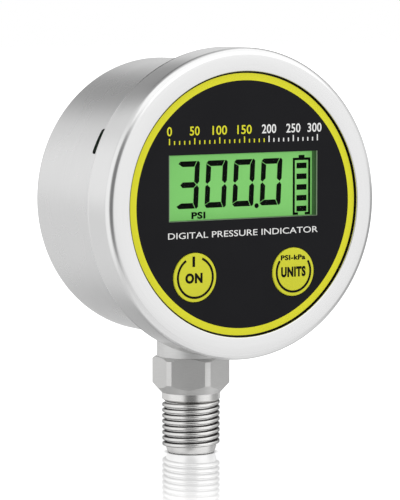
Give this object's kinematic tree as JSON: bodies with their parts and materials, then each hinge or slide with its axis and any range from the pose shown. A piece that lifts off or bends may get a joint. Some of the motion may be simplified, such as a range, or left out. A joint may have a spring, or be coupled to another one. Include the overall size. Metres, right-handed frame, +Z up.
{
  "type": "digital pressure gauge",
  "caption": "Round steel digital pressure gauge with twist-off bezel, backlit display, two push buttons and a tapered pipe thread below.",
  "frame": {"origin": "centre of the lower end face of the pipe thread, on the stem's axis", "axes": "+Z up along the stem's axis; the dial looks along -Y; +X to the right seen from the front"},
  "size_m": [0.076, 0.0446, 0.1019],
  "materials": {
    "case_steel": "satin",
    "bezel_steel": "fine satin",
    "stem_steel": "turned",
    "fixing_steel": "zinc plated",
    "black_rubber": "matt",
    "panel_plastic": "matt moulded",
    "face_black": "fine matt film",
    "yellow_print": "printed",
    "window_clear": "clear",
    "key_yellow": "satin",
    "black_print": "printed",
    "switch_cover": "tinned",
    "display_glass": "backlit green",
    "display_black": "dark segments",
    "contact_rubber": "matt",
    "clear_guide": "milky clear",
    "white_film": "white film",
    "led_plastic": "clear",
    "board_green": "solder mask",
    "chip_plastic": "matt",
    "cell_can": "film on a metal can",
    "contact_metal": "nickel plated",
    "sensor_steel": "bright",
    "ring_brass": "turned",
    "ribbon_film": "amber film",
    "socket_plastic": "ivory"
  },
  "bodies": {
    "housing": {"case_shell": "case_steel", "stem": "stem_steel", "clamp_saddle": "fixing_steel", "lock_nut": "fixing_steel", "board_screws": "fixing_steel", "bezel_gasket": "black_rubber", "rim_seal": "black_rubber", "stem_seal": "black_rubber", "sensor_o_ring": "black_rubber", "vent_plug": "black_rubber", "front_panel": "panel_plastic", "lcd_frame": "panel_plastic", "battery_holder": "panel_plastic", "face_sheet": "face_black", "face_ring": "yellow_print", "scale_ticks": "yellow_print", "display_window": "window_clear", "on_switch": "switch_cover", "units_switch": "switch_cover", "lcd_glass": "display_glass", "lcd_segments": "display_black", "lcd_contact_strips": "contact_rubber", "backlight_guide": "clear_guide", "backlight_reflector": "white_film", "backlight_leds": "led_plastic", "main_board": "board_green", "sensor_board": "board_green", "processor_chip": "chip_plastic", "board_parts": "chip_plastic", "battery_1": "cell_can", "battery_2": "cell_can", "battery_3": "cell_can", "left_contacts": "contact_metal", "right_contacts": "contact_metal", "pressure_sensor": "sensor_steel", "sensor_retainer": "ring_brass", "sensor_ribbon": "ribbon_film", "ribbon_socket": "socket_plastic"},
    "bezel": {"bezel_ring": "bezel_steel"},
    "on_key": {"on_button": "key_yellow", "on_button_mark": "black_print", "on_plunger": "panel_plastic"},
    "units_key": {"units_button": "key_yellow", "units_button_mark": "black_print", "units_plunger": "panel_plastic"}
  },
  "joints": [
    {"name": "bezel_twist", "type": "hinge", "parent": "housing", "child": "bezel", "pos_m": [0, -0.02542, 0.0639], "axis": [0, -1, 0], "range_deg": [0, 13]},
    {"name": "on_button_press", "type": "slide", "parent": "housing", "child": "on_key", "axis": [0, 1, 0], "range_m": [0, 0.0006], "stiffness_N_per_m": 2000},
    {"name": "units_button_press", "type": "slide", "parent": "housing", "child": "units_key", "axis": [0, 1, 0], "range_m": [0, 0.0006], "stiffness_N_per_m": 2000}
  ]
}
